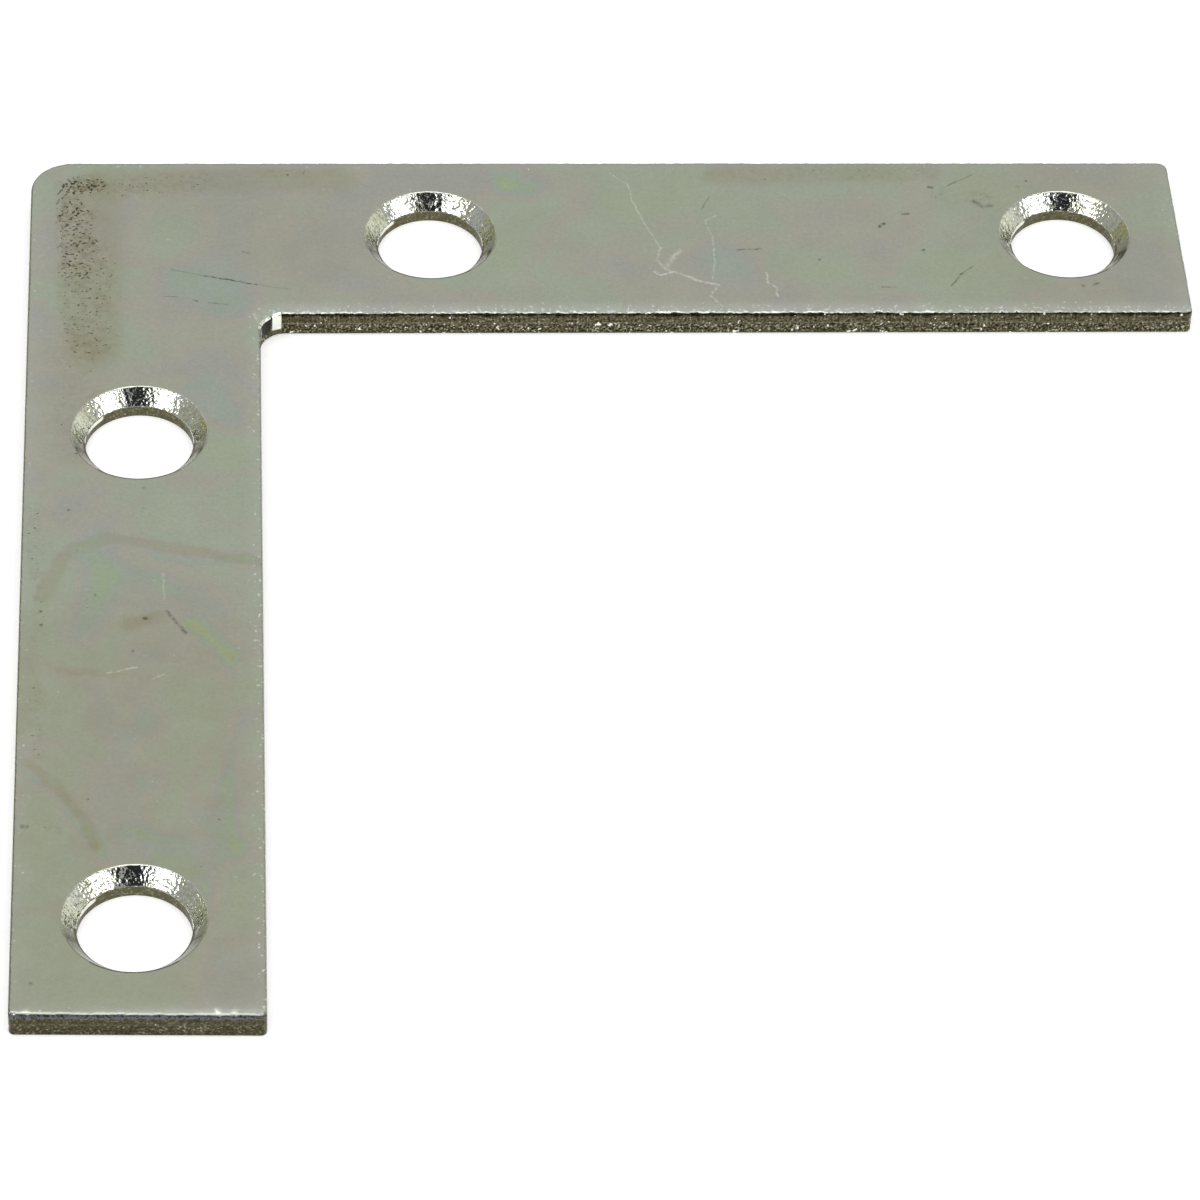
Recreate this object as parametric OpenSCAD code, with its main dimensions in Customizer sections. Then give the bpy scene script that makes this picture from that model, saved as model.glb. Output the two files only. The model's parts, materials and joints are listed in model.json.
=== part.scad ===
// Flat corner brace.
// One L of sheet steel, blanked in a die, with two screw holes in each arm that are
// countersunk from the front. It lies flat over a corner joint and holds both pieces.
//
// The back face lies on z = 0 and the front face looks up. The heel, where the two outer
// edges meet, is at -X +Y. From there one arm runs along +X and the other along -Y, and
// the origin is the middle of the square that the two arms span.

/* [Plate] */
// Length of each arm along its outer edge
arm_length = 63.5; // [45:0.5:120]
// Width of each arm
arm_width = 12.6; // [11:0.1:16]
// Thickness of the sheet
thickness = 1.5; // [1.1:0.1:3]

/* [Corners] */
// Radius of the heel
heel_radius = 2.3; // [0.5:0.1:5]
// Radius of the inside corner
inside_radius = 1.4; // [0.5:0.1:5]
// Radius of each tip, at the outer edge
tip_outer_radius = 0.4; // [0.3:0.1:3]
// Radius of each tip, at the inner edge
tip_inner_radius = 0.3; // [0.3:0.1:3]

/* [Blanked edges] */
// Radius that tumbling leaves on the rim of the front face
front_arris = 0.1; // [0.05:0.05:0.25]
// Radius that tumbling leaves on the rim of the back face
back_arris = 0.1; // [0.05:0.05:0.25]

/* [Screw holes] */
// Diameter of the hole, at the back face
hole_diameter = 5.75; // [4.8:0.05:6.4]
// Diameter of the countersink, at the front face
sink_diameter = 7.2; // [6.6:0.1:8]
// Included angle of the countersink
sink_angle = 82; // [75:1:120]
// Distance from the heel to the near hole, along the arm
near_hole = 22; // [16:0.1:30]
// Distance from the far hole to the tip
tip_margin = 6.35; // [5:0.05:10]
// Distance from the line of holes to the outer edge
hole_inset = 6.1; // [5:0.05:7]

/* [Hidden] */
zinc_plate = [0.63, 0.64, 0.59];
$fn = 96;

// How far a cutter runs past the face that it starts from
overcut = 0.2;

half_span = arm_length / 2;
inner_edge = arm_width - half_span;
sink_depth = (sink_diameter - hole_diameter) / 2 / tan(sink_angle / 2);

// The corners of the plate, anticlockwise from the heel: [x, y, radius]
corners = [
    [-half_span, half_span, heel_radius],
    [-half_span, -half_span, tip_outer_radius],
    [inner_edge, -half_span, tip_inner_radius],
    [inner_edge, -inner_edge, inside_radius],
    [half_span, -inner_edge, tip_inner_radius],
    [half_span, half_span, tip_outer_radius]
];
last_corner = len(corners) - 1;

function corner(i) = corners[(i + len(corners)) % len(corners)];
function place(i) = [corner(i).x, corner(i).y];
function radius(i) = corner(i).z;

// The edge that leaves corner i has the plate on its left
function heading(i) = (place(i + 1) - place(i)) / norm(place(i + 1) - place(i));
function bearing(i) = atan2(heading(i).y, heading(i).x);
function edge_start(i) = place(i) + radius(i) * heading(i);
function edge_end(i) = place(i + 1) - radius(i + 1) * heading(i);
function edge_length(i) = norm(edge_end(i) - edge_start(i));

// A corner is outside where the outline turns left, and only one corner turns right
function is_outside(i) = cross(heading(i - 1), heading(i)) > 0;
function arc_centre(i) = place(i) + radius(i) * (heading(i) - heading(i - 1));
function arc_start(i) = bearing(i - 1) - (is_outside(i) ? 90 : 0);
function outline_points(i) =
    is_outside(i) ? [place(i)] : [edge_end(i - 1), arc_centre(i), edge_start(i)];

corner_plate();

module corner_plate() {
    color(zinc_plate)
    difference() {
        linear_extrude(thickness) outline();
        edge_rounding(back_arris);
        from_front() edge_rounding(front_arris);
        both_arms() {
            screw_hole(near_hole);
            screw_hole(arm_length - tip_margin);
        }
    }
}

// Turns what is drawn on the back face over, onto the front face
module from_front() {
    translate([0, 0, thickness]) mirror([0, 0, 1]) children();
}

// The arm along +X and its mirror image along -Y
module both_arms() {
    children();
    mirror([1, 1, 0]) children();
}

// Square corners, which the webs and the circle below then round
module outline() {
    difference() {
        polygon([for (i = [0:last_corner]) each outline_points(i)]);
        for (i = [0:last_corner])
            if (is_outside(i)) corner_web(i);
            else translate(arc_centre(i)) circle(radius(i));
    }
}

// The sliver between an outside corner and its arc
module corner_web(i) {
    difference() {
        polygon([edge_end(i - 1), place(i), edge_start(i), arc_centre(i)]);
        translate(arc_centre(i)) circle(radius(i));
    }
}

// What is taken off the whole rim of the face on z = 0 to round it
module edge_rounding(rounding) {
    for (i = [0:last_corner]) {
        translate(edge_start(i))
        rotate([90, 0, 90 + bearing(i)])
        linear_extrude(edge_length(i))
        rounding_section(rounding);

        translate(arc_centre(i))
        rotate([0, 0, arc_start(i)])
        rotate_extrude(angle = 90)
        translate([radius(i), 0])
        mirror([is_outside(i) ? 1 : 0, 0])
        rounding_section(rounding);
    }
}

// Section of that rounding: x runs from the edge into the plate, and y up from the face
module rounding_section(rounding) {
    difference() {
        translate([-overcut, -overcut]) square(rounding + overcut);
        translate([rounding, rounding]) circle(rounding);
    }
}

// One hole of the arm along +X, at a distance from the heel
module screw_hole(distance) {
    translate([distance - half_span, half_span - hole_inset, 0]) {
        translate([0, 0, -overcut])
        cylinder(d = hole_diameter, h = thickness + 2 * overcut);
        translate([0, 0, thickness - sink_depth])
        cylinder(d1 = hole_diameter, d2 = sink_diameter, h = sink_depth);
    }
}
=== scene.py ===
# %% [markdown]
# A flat corner brace is a mending plate: one L of sheet steel that is laid over a corner
# joint and screwed down. It is blanked from strip in a die, so its faces are the flat skin
# of the rolled strip, while its edges are torn and rubbed metal. Then it is tumbled, plated
# with a few microns of zinc and dipped in a clear passivate, which dries in faint colours.
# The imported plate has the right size, so everything below is measured from it.

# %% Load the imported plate
import json
import math
import bpy
import numpy as np
from mathutils import Matrix, Vector
from mathutils.geometry import delaunay_2d_cdt


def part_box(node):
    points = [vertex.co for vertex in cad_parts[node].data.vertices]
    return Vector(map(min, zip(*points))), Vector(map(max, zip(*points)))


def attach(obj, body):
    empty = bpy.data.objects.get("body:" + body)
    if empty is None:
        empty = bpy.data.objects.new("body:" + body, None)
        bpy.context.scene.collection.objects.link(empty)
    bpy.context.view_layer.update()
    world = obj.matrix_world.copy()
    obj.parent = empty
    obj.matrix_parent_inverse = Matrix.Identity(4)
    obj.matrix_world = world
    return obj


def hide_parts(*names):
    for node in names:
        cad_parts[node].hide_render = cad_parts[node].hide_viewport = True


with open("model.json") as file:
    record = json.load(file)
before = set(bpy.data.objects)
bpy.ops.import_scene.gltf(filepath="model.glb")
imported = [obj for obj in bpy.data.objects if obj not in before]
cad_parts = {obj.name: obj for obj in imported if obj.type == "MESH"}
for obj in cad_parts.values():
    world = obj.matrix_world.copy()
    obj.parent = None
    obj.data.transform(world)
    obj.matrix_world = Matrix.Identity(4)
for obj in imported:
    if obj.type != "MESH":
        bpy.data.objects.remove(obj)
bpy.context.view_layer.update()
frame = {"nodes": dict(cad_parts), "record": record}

# %% [markdown]
# All lengths below are millimetres, because a fitter thinks of the plate in them. They
# turn into Blender's metres once, where the mesh is made. The width of an arm is measured
# on the plate itself, and the screw holes come from the record's mounts. Only the small
# radii at the corners are written down, as a drawing would give them.

# %% Measure the plate
METRES = 0.001
plate_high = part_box("corner_plate")[1]
plate_points = np.array([v.co for v in frame["nodes"]["corner_plate"].data.vertices]) / METRES

half_span = plate_high.x / METRES
span = 2 * half_span
thickness = plate_high.z / METRES
near_tip = plate_points[:, 0] > 0.8 * half_span
arm_width = half_span - plate_points[near_tip, 1].min()
inner_edge = arm_width - half_span

holes = []
for mount in frame["record"]["mounts"]:
    if mount["kind"] != "bore":
        continue
    centre = np.array(mount["pos_m"][:2]) / METRES
    bore_radius = mount["dims"]["r_mm"]
    land_height = mount["dims"]["length_mm"]
    reach = np.linalg.norm(plate_points[:, :2] - centre, axis=1)
    on_front = plate_points[:, 2] > thickness - 0.001
    sink_radius = reach[on_front & (reach < 2 * bore_radius)].max()
    holes.append((centre, bore_radius, sink_radius, land_height))

print("arm", round(arm_width, 2), "mm wide,", len(holes), "holes, sink radius", round(sink_radius, 3))

# %% [markdown]
# The photograph looks down on the brace at about 44 degrees with a long lens, a little
# from the left. Its frame is square. The camera is placed first, so that every later step
# can be judged through it. The place and angles were found by fitting the plate's own
# corners and the rims of its holes to the picture.

# %% Camera
camera_data = bpy.data.cameras.new("product_camera")
camera_data.sensor_width = 36.0
camera_data.lens = 192.77
camera = bpy.data.objects.new("product_camera", camera_data)
camera.location = Vector((-21.02, -241.23, 235.20)) * METRES
camera_turn = Matrix.Rotation(math.radians(-4.649), 3, "Z")
camera_tilt = Matrix.Rotation(math.radians(90 - 44.375), 3, "X")
camera_roll = Matrix.Rotation(math.radians(3.011), 3, "Z")
camera.rotation_euler = (camera_turn @ camera_tilt @ camera_roll).to_euler()
camera_data.clip_start = 0.01
camera_data.clip_end = 20.0
bpy.context.scene.collection.objects.link(camera)
bpy.context.scene.camera = camera
print("camera", round(camera.location.length, 3), "m from the middle of the plate")

# %% [markdown]
# A designer picks colours as sRGB hex values, and a shader wants them linear, so one
# function turns them. A node tree is easier to read as code when one line adds a node, sets
# it and links it, so another does that. A third gives a colour ramp its stops. Many ramps
# of numbers are soft at both ends, and they share that setting.

# %% Helpers for colours and nodes
def to_linear(hex_colour):
    """An sRGB hex colour as the linear colour that a shader takes."""
    shares = [int(hex_colour[i:i + 2], 16) / 255 for i in (1, 3, 5)]
    linear = [s / 12.92 if s <= 0.04045 else ((s + 0.055) / 1.055) ** 2.4 for s in shares]
    return (*linear, 1.0)


def add(tree, kind, sockets=None, **settings):
    """Adds a node with its settings. A socket gets a value, a hex colour or another node's link."""
    node = tree.nodes.new("ShaderNode" + kind)
    for name, value in settings.items():
        setattr(node, name, value)
    for name, value in (sockets or {}).items():
        if isinstance(value, str):
            value = to_linear(value)
        if isinstance(value, bpy.types.Node):
            value = next(output for output in value.outputs if output.enabled)
        if isinstance(value, bpy.types.NodeSocket):
            tree.links.new(value, node.inputs[name])
        else:
            node.inputs[name].default_value = value
    return node


SMOOTH = {"interpolation_type": "SMOOTHSTEP"}


def set_stops(ramp_node, stops):
    """Gives a colour ramp its (position, hex colour) stops."""
    elements = ramp_node.color_ramp.elements
    while len(elements) < len(stops):
        elements.new(0.5)
    for element, (position, colour) in zip(elements, stops):
        element.position = position
        element.color = to_linear(colour)

# %% [markdown]
# Bright metal has hardly any colour of its own: it shows the room. The countersinks in the
# photograph work like small round mirrors, and they show a pale room with a soft box on
# each side of the camera, a dark gap between them where the photographer stands, a bright
# panel overhead, and an olive horizon behind and at the left. The room is a world shader
# that adds a few soft patches of light, and takes some away, by direction.

# %% Studio room
ROOM_LEVEL = 0.50
# Where a patch is (azimuth from the camera's side towards +X, elevation), how wide its
# middle and its outer edge are (degrees from its centre), and what it adds to the room's
# red, green and blue
room_patches = [
    ("overhead panel", (0, 90), (8, 32), (1.70, 1.70, 1.70)),
    ("pale wall behind", (180, 47), (20, 34), (0.30, 0.30, 0.30)),
    ("dull horizon behind", (180, 2), (14, 30), (-0.29, -0.30, -0.36)),
    ("dull horizon at the left", (-138, 0), (16, 34), (-0.12, -0.12, -0.31)),
    ("lamp-lit wall at the right", (115, 6), (12, 36), (0.52, 0.52, 0.45)),
    ("photographer", (1, 37), (14, 20), (-0.47, -0.47, -0.46)),
]


def direction(azimuth, elevation):
    """A unit vector: azimuth 0 is towards the camera's side (-Y), and 90 is +X."""
    turn = math.radians(azimuth)
    rise = math.radians(elevation)
    return (math.sin(turn) * math.cos(rise), -math.cos(turn) * math.cos(rise), math.sin(rise))


world = bpy.data.worlds.new("studio_room")
world.use_nodes = True
world.cycles.sampling_method = "MANUAL"
world.cycles.sample_map_resolution = 256
room = world.node_tree
room.nodes.clear()
looking = add(room, "TexCoord").outputs["Generated"]
colour = (ROOM_LEVEL, ROOM_LEVEL, ROOM_LEVEL)
for name, where, (middle, edge), gain in room_patches:
    nearness = add(room, "VectorMath", {0: looking, 1: direction(*where)}, operation="DOT_PRODUCT")
    patch = add(room, "MapRange", {
        "Value": nearness,
        "From Min": math.cos(math.radians(edge)),
        "From Max": math.cos(math.radians(middle)),
    }, label=name, **SMOOTH)
    colour = add(room, "VectorMath", {0: patch, 1: gain, 2: colour}, operation="MULTIPLY_ADD")
room_light = add(room, "Background", {"Color": colour, "Strength": 1.0})
add(room, "OutputWorld", {"Surface": room_light})
bpy.context.scene.world = world
bpy.context.scene.view_settings.view_transform = "Standard"
print("room with", len(room_patches), "patches round a level of", ROOM_LEVEL)

# %% [markdown]
# The soft boxes are area lamps, a metre away and aimed at the plate. Their power follows
# from how bright their cloth looks, so that a colour in the scene renders about as written.

# %% Soft boxes
CLOTH_BRIGHTNESS = 3.4
LAMP_DISTANCE = 1.0
# Azimuth and elevation of the middle of each box, and its width and height in metres
soft_boxes = {
    "soft_box_right": (56, 33, 0.60, 0.40),
    "soft_box_left": (-47, 34, 0.60, 0.36),
}
for name, (azimuth, elevation, width, height) in soft_boxes.items():
    lamp_data = bpy.data.lights.new(name, "AREA")
    lamp_data.shape = "RECTANGLE"
    lamp_data.size = width
    lamp_data.size_y = height
    lamp_data.energy = CLOTH_BRIGHTNESS * math.pi * width * height
    lamp = bpy.data.objects.new(name, lamp_data)
    aim = Vector(direction(azimuth, elevation))
    lamp.location = aim * LAMP_DISTANCE
    lamp.rotation_euler = aim.to_track_quat("Z", "Y").to_euler()
    bpy.context.scene.collection.objects.link(lamp)
    print(name, round(lamp_data.energy, 2), "W")

# %% [markdown]
# The brace lies on a pale sweep that the photograph shows as pure white. The floor is a
# plain matt white. Rays from the camera, and rays that the metal reflects, also see a
# little light of its own, which takes it up to white and leaves the soft shadow on it.

# %% Floor
FLOOR_SIZE = 6.0
FLOOR_GAP = 0.00002
FLOOR_LIFT = 0.42
floor_corners = [Vector((x, y, 0)) * FLOOR_SIZE / 2 for x, y in ((-1, -1), (1, -1), (1, 1), (-1, 1))]
floor_mesh = bpy.data.meshes.new("floor")
floor_mesh.from_pydata(floor_corners, [], [(0, 1, 2, 3)])
floor = bpy.data.objects.new("floor", floor_mesh)
floor.location.z = -FLOOR_GAP
bpy.context.scene.collection.objects.link(floor)

floor_paper = bpy.data.materials.new("white_paper_sweep")
floor_paper.use_nodes = True
tree = floor_paper.node_tree
tree.nodes.clear()
rays = add(tree, "LightPath").outputs
seen = add(tree, "Math", {0: rays["Is Camera Ray"], 1: rays["Is Glossy Ray"]}, operation="MAXIMUM")
seen = add(tree, "Math", {0: seen, 1: rays["Is Transmission Ray"]}, operation="MAXIMUM")
lift = add(tree, "Math", {0: seen, 1: FLOOR_LIFT}, operation="MULTIPLY")
matt = add(tree, "BsdfDiffuse", {"Color": "#E7E7E7"})
glow = add(tree, "Emission", {"Strength": lift})
both = add(tree, "AddShader", {0: matt, 1: glow})
add(tree, "OutputMaterial", {"Surface": both})
floor_mesh.materials.append(floor_paper)
print("floor", FLOOR_SIZE, "m")

# %% [markdown]
# The blank is cut out along one closed outline of straight edges and round corners. Every
# edge form, such as the rounded rim or the torn lower half, runs all the way round it. So
# the outline is walked once, and at each step the walk keeps a point and the direction
# that points out of the metal. In the photograph the shear cut both tips off slightly out
# of square, so their inner corners reach out a little further than the drawing says, and
# the corner at the end of the other arm is rounder than the rest.

# %% Walk round the outline
EDGE_STEP = 0.1
X_TIP_SKEW = 0.13
Y_TIP_SKEW = 0.21
HEEL_RADIUS = 2.3
INSIDE_RADIUS = 1.4
TIP_RADIUS = 0.3
ROUNDER_TIP_RADIUS = 0.55
outline_corners = [
    ((-half_span, half_span), HEEL_RADIUS),
    ((-half_span, -half_span), TIP_RADIUS),
    ((inner_edge, -half_span - Y_TIP_SKEW), TIP_RADIUS),
    ((inner_edge, -inner_edge), INSIDE_RADIUS),
    ((half_span + X_TIP_SKEW, -inner_edge), TIP_RADIUS),
    ((half_span, half_span), ROUNDER_TIP_RADIUS),
]


def walk_outline():
    """Points and outward directions round the plate, with the metal on the left."""
    places = np.array([place for place, radius in outline_corners])
    ways = np.roll(places, -1, axis=0) - places
    ways /= np.linalg.norm(ways, axis=1)[:, None]
    turns = []
    reaches = []
    for i, (place, radius) in enumerate(outline_corners):
        before = ways[i - 1]
        after = ways[i]
        turn = math.atan2(before[0] * after[1] - before[1] * after[0], before.dot(after))
        turns.append(turn)
        reaches.append(radius * math.tan(abs(turn) / 2))
    points = []
    outward = []
    for i, (place, radius) in enumerate(outline_corners):
        before = ways[i - 1]
        after = ways[i]
        side = np.sign(turns[i]) * radius
        centre = places[i] - reaches[i] * before + side * np.array((-before[1], before[0]))
        steps = max(10, int(abs(radius * turns[i]) / EDGE_STEP))
        for share in np.arange(steps) / steps:
            angle = math.atan2(-before[0], before[1]) + share * turns[i]
            out = np.array((math.cos(angle), math.sin(angle)))
            points.append(centre + side * out)
            outward.append(out)
        following = (i + 1) % len(outline_corners)
        start = places[i] + reaches[i] * after
        end = places[following] - reaches[following] * after
        steps = int(np.linalg.norm(end - start) / EDGE_STEP)
        for share in np.arange(steps) / steps:
            points.append(start + share * (end - start))
            outward.append(np.array((after[1], -after[0])))
    return np.array(points), np.array(outward)


outline = walk_outline()
steps = len(outline[0])
print("outline of", steps, "steps")

# %% [markdown]
# Torn steel, drawn streaks and the dents of tumbling are all kinds of smooth noise. White
# noise that is blurred to a grain size gives them. The blur is done on frequencies, so
# that the noise meets itself where a walk closes, and a fixed seed keeps every run alike.

# %% Smooth noise
dice = np.random.default_rng(7)


def smooth_noise(shape, grain):
    """Noise with a spread of 1 that wraps round. grain is its blur along each side, in samples."""
    pull = np.zeros(shape)
    for axis, (count, blur) in enumerate(zip(shape, grain)):
        waves = np.fft.fftfreq(count).reshape([-1 if a == axis else 1 for a in range(len(shape))])
        pull = pull - 2 * (math.pi * blur * waves) ** 2
    noise = np.fft.ifftn(np.fft.fftn(dice.standard_normal(shape)) * np.exp(pull)).real
    return noise / noise.std()

# %% [markdown]
# The mesh grows by sweeping a section along a walk. A section is a row of points from the
# front face, over the edge, to the back face. Each is given as how far it lies inside the
# edge and how high it lies, and either may change along the walk. So may the finish that
# is worn by the band above it, and the painted shade that darkens its colour. The walk also
# says how much the punch polished the metal at each step, and whether a bright or a dark
# reflection is painted there. Painted shade and polish are kept with the vertices.

# %% Sweep a section along a walk
FRONT_FACE, BACK_FACE, SHEARED_EDGE, COUNTERSINK = range(4)
mesh_points = []
mesh_faces = []
mesh_finishes = []
mesh_polish_and_reflection = []
mesh_painted_shade = []


def sweep(walk, section, polish_and_reflection):
    """Adds the bands of a section of (inset, height, finish, painted shade) rows. Returns each row's
    numbers.
    """
    points, outward = walk
    first = sum(len(part) for part in mesh_points)
    rows = first + np.arange(len(section) * len(points)).reshape(len(section), -1)
    for inset, height, finish, painted_shade in section:
        inset = np.broadcast_to(inset, len(points))
        height = np.broadcast_to(height, len(points))
        flat = points - inset[:, None] * outward
        mesh_points.append(np.column_stack([flat, height]))
        mesh_polish_and_reflection.append(polish_and_reflection)
        # Painted shade: how much each vertex's colour is darkened
        mesh_painted_shade.append(np.broadcast_to(painted_shade, len(points)))
    for upper, lower, (inset, height, finish, painted_shade) in zip(rows, rows[1:], section[1:]):
        band = np.column_stack([upper, lower, np.roll(lower, -1), np.roll(upper, -1)])
        mesh_faces.extend(band.tolist())
        mesh_finishes.extend(np.broadcast_to(finish, len(points)).tolist())
    return rows

# %% [markdown]
# A die leaves the front of a blank very slightly sunk along its rim, over about as far as
# the sheet is thick. Tumbling then knocks the sharp edge round, by about a tenth of a
# millimetre, more here and less there, and dents it. On the near rims that worn edge
# catches the light as a bright line. Painted shade breaks it off where the edge is thin,
# and a line of painted shade runs right under it. On the far and outer rims painted shade
# lies on the rim itself, as a thin dark outline. At the end of the y arm the worn edge is
# almost twice as broad and painted a little darker, and four chips with painted glints on
# them are its brightest points. In the inside corner it is broader too, and polished like
# the edge under it, with the same painted reflections.

# %% The rim of the front face
DROOP_DEPTH = 0.03
DROOP_WIDTH = 1.2
ARRIS_RADIUS = 0.11
ARRIS_UNEVENNESS = 0.05
ARRIS_LIMITS = (0.04, 0.20)
BROADEST_ARRIS = 0.22
# How many times broader the worn edge is in the inside corner and at the y arm's tip
CORNER_BREADTH = 1.35
Y_TIP_BREADTH = 1.8
# How hard the rims were rubbed that face away from the camera, and the one in the inside
# corner, where the near rims count as 1. At the y arm's tip it is a share of that
FAR_RUB = 0.25
CORNER_RUB = 0.2
Y_TIP_RUB = 0.4
# At the y arm's tip painted shade darkens the worn edge by at least this share
Y_TIP_PAINTED_SHADE = 0.35
BEAD_GRAIN = 0.6
DENT_GRAIN = 0.5
DENT_DEPTH = 0.025
CHIP_DEPTH = 0.09
CHIP_WIDTH = 0.15
# Where the chips are, in millimetres from the heel
chips = [(0.2, -63.5), (0.85, -63.5), (10.2, -63.7), (11.0, -63.7)]
# What the punch polished in the inside corner: from which angle to which, counted from the
# y arm, and whether a bright (1) or a dark (-1) reflection is painted there
polish_and_reflection_blocks = [(6, 19, 1), (21, 55, -1), (57, 79, 1)]
# How far inside the edge the flat face ends, how steep the rows of the rim are, and from
# where on a near rim the edge's darker finish paints shade under the bright line
FACE_ROWS = (0.28, 0.235)
RIM_TILTS = (0, 18, 36, 54, 72)
STEEP_TILT = 40


def rim_distance(x, y):
    """How far a point of the face lies from the rim of the L."""
    across = x + half_span
    down = half_span - y
    to_outer = np.minimum(np.minimum(across, down), np.minimum(span - across, span - down))
    to_inner = np.hypot(np.maximum(arm_width - across, 0), np.maximum(arm_width - down, 0))
    return np.minimum(to_outer, to_inner)


def droop(distance):
    """How far the front face has sunk at a distance from its rim."""
    return DROOP_DEPTH * np.clip(1 - distance / DROOP_WIDTH, 0, 1) ** 2


from_corner = outline[0] - (inner_edge + INSIDE_RADIUS, -inner_edge - INSIDE_RADIUS)
in_corner = np.linalg.norm(from_corner, axis=1) < INSIDE_RADIUS * 1.01
corner_angle = np.degrees(np.arctan2(from_corner[:, 1], -from_corner[:, 0]))
edge_polish_and_reflection = np.zeros(steps)
# Polish with its painted bright or dark reflection, step by step round the outline
for start, end, polish_and_reflection in polish_and_reflection_blocks:
    edge_polish_and_reflection[in_corner & (corner_angle > start) & (corner_angle < end)] = polish_and_reflection

faces_camera = np.clip(-outline[1][:, 1], 0, 1)
rubbed = FAR_RUB + (1 - FAR_RUB) * faces_camera
rubbed[in_corner] = CORNER_RUB
at_y_tip = outline[0][:, 1] < 0.1 - half_span
rubbed[at_y_tip] *= Y_TIP_RUB
beads = smooth_noise((steps,), (BEAD_GRAIN,)) + 0.5 * smooth_noise((steps,), (7,))
arris = np.clip(ARRIS_RADIUS + ARRIS_UNEVENNESS * rubbed * beads, *ARRIS_LIMITS)
arris[in_corner] *= CORNER_BREADTH
arris[at_y_tip] *= Y_TIP_BREADTH
arris = np.minimum(arris, BROADEST_ARRIS)
# Painted shade that breaks the bright line off where the near rims' worn edge is thin, and darkens the y
# arm's tip
shaded_gaps = rubbed * faces_camera * np.clip(-3 * beads - 0.4, 0, 1)
shaded_gaps[at_y_tip] = np.maximum(shaded_gaps[at_y_tip], Y_TIP_PAINTED_SHADE)
chipped = np.zeros(steps)
for x, y in chips:
    from_chip = np.linalg.norm(outline[0] - (x - half_span, y + half_span), axis=1)
    chipped += CHIP_DEPTH * np.exp(-(from_chip / CHIP_WIDTH) ** 2)
dents = DENT_DEPTH * rubbed * np.clip(smooth_noise((steps,), (DENT_GRAIN,)), -1, 2.2)
rim_finish = np.where(edge_polish_and_reflection != 0, SHEARED_EDGE, FRONT_FACE)
# Painted shade as a thin dark outline on the rims that face away from the camera, weaker on those facing
# +X
shaded_outline = np.clip(np.maximum(-outline[1][:, 0], outline[1][:, 1]), 0, 1)
shaded_outline = np.maximum(shaded_outline, 0.4 * np.clip(outline[1][:, 0], 0, 1))


def front_height(inset):
    """How high the front face is at a distance from its edge, with its droop and its chips."""
    return thickness - droop(inset) - chipped * np.clip(1 - inset / FACE_ROWS[0], 0, 1)


front_section = [(inset, front_height(inset), FRONT_FACE, 0.0) for inset in FACE_ROWS]
for tilt in np.radians(RIM_TILTS):
    inset = arris * (1 - math.sin(tilt)) + dents * math.sin(2 * tilt)
    height = front_height(inset) - arris * (1 - math.cos(tilt))
    finish = rim_finish
    # On the near rims the steep rows take the edge's darker finish: painted shade under the bright line
    if tilt > math.radians(STEEP_TILT):
        finish = np.where(faces_camera > 0.5, SHEARED_EDGE, rim_finish)
    # Painted shade on the rim rows: the outline, the line under the bright line, and the breaks in it
    painted_shade = shaded_outline * min(1, tilt) + faces_camera * max(0, 3 * tilt - 2.0) + shaded_gaps * min(1, 3 * tilt)
    front_section.append((inset, height, FRONT_FACE if tilt == 0 else finish, np.minimum(painted_shade, 1)))
print("worn rim", round(arris.min(), 3), "to", round(arris.max(), 3), "mm")

# %% [markdown]
# Below the rim the edge has two zones. In the upper one the punch rubbed the steel, and
# left faint upright streaks. In the lower one the steel tore, and is rough and a little
# set back. The border between them wanders. In the inside corner the punch even polished
# the upper zone: two blocks of it are bright mirrors, and the part between them shows the
# dark of the room.

# %% The sheared edge
BACK_ARRIS = 0.1
WALL_ROWS = 10
STREAK_DEPTH = 0.004
TEAR_DEPTH = 0.016
TEAR_SETBACK = 0.02
BORDER_HEIGHT = 0.75
BORDER_WIDTH = 0.12
BACK_TILTS = (30, 60, 90)
border = BORDER_HEIGHT + BORDER_WIDTH * smooth_noise((steps,), (20,))
streaks = smooth_noise((steps,), (0.9,))
tears = smooth_noise((WALL_ROWS + 1, steps), (1.0, 1.0))

wall_section = []
wall_top = front_height(0) - arris
for row in range(WALL_ROWS + 1):
    share = row / WALL_ROWS
    height = wall_top + share * (BACK_ARRIS - wall_top)
    torn = np.clip((border - height) / BORDER_WIDTH + 0.5, 0, 1)
    depth = (1 - torn) * STREAK_DEPTH * (1 + np.clip(streaks, -1, 1))
    depth = depth + torn * (TEAR_SETBACK + TEAR_DEPTH * np.clip(tears[row], -1.2, 2.5))
    ends = min(1.0, 4 * share, 5 * (1 - share))
    # Painted shade: the dark line right under the rim, in the top row
    painted_shade = max(0.0, 1 - 0.9 * row)
    wall_section.append((np.maximum(depth * ends, 0), height, SHEARED_EDGE, painted_shade))

back_section = []
for tilt in np.radians(BACK_TILTS):
    inset = BACK_ARRIS * (1 - math.cos(tilt))
    height = BACK_ARRIS * (1 - math.sin(tilt))
    # Painted shade on the lower rounding as well
    back_section.append((inset, height, SHEARED_EDGE, 0.7))
back_section.append((0.26, 0.0, BACK_FACE, 0.0))

outline_rows = sweep(outline, front_section + wall_section + back_section, edge_polish_and_reflection)
print("edge of", len(mesh_faces), "faces")

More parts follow.
